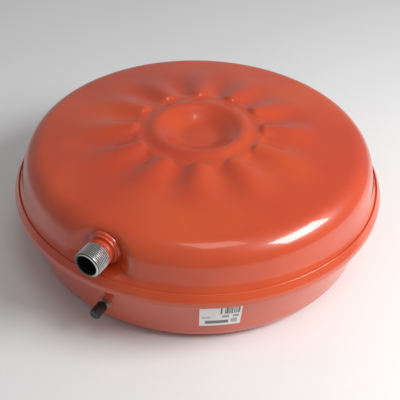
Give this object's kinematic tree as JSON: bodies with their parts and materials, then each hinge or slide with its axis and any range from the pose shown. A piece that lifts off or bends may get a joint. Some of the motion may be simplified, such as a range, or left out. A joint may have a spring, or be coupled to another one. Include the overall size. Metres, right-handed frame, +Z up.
{
  "type": "expansion vessel",
  "caption": "Flat round steel expansion vessel in red paint, with a pressed dished top, a rolled rim, a threaded side connection and a capped gas valve.",
  "frame": {"origin": "on the vessel's axis, in the plane that the flat base rests on", "axes": "+Z up along the vessel's axis, -Y the way the water connection points"},
  "size_m": [0.3869, 0.3951, 0.1283],
  "materials": {
    "red_paint": "glossy stoved paint",
    "thread_steel": "zinc-plated turned steel, with paint overspray at its root",
    "valve_metal": "turned, dull",
    "core_brass": "turned",
    "spring_wire": "drawn wire",
    "rubber": "matt moulded",
    "white_seal": "waxy",
    "cap_plastic": "moulded black plastic",
    "label_paper": null
  },
  "bodies": {
    "vessel": {"upper_shell": "red_paint", "lower_shell": "red_paint", "seam_ring": "red_paint", "water_nipple": "thread_steel", "nipple_weld": "red_paint", "valve_stem": "valve_metal", "valve_weld": "red_paint", "core_nut": "core_brass", "core_barrel": "core_brass", "core_seal": "white_seal", "label": "label_paper"},
    "diaphragm": {"diaphragm": "rubber"},
    "core_plunger": {"core_pin": "core_brass", "core_spring": "spring_wire", "core_cup": "core_brass", "core_seat": "rubber"},
    "cap_disc": {"cap_seal": "rubber"},
    "cap": {"valve_cap": "cap_plastic"}
  },
  "joints": [
    {"name": "diaphragm_stroke", "type": "slide", "parent": "vessel", "child": "diaphragm", "axis": [0, 0, 1], "range_m": [-0.055, 0], "stiffness_N_per_m": 600, "springref_m": 0.03, "deforming": ["diaphragm"]},
    {"name": "core_press", "type": "slide", "parent": "vessel", "child": "core_plunger", "axis": [-0.0227, 0.9997, 0], "range_m": [0, 0.0012], "stiffness_N_per_m": 900, "springref_m": -0.002, "deforming": ["core_spring"]},
    {"name": "cap_lift", "type": "slide", "parent": "vessel", "child": "cap_disc", "axis": [0.0227, -0.9997, 0], "range_m": [0, 0.00953]},
    {"name": "cap_turn", "type": "hinge", "parent": "cap_disc", "child": "cap", "pos_m": [0.00442, -0.19495, 0.0354], "axis": [0.0227, -0.9997, 0], "range_deg": [0, 4320]}
  ],
  "couplings": [
    {"joint": "cap_turn", "follows": "cap_lift", "rad_per_m": 7913.3}
  ]
}
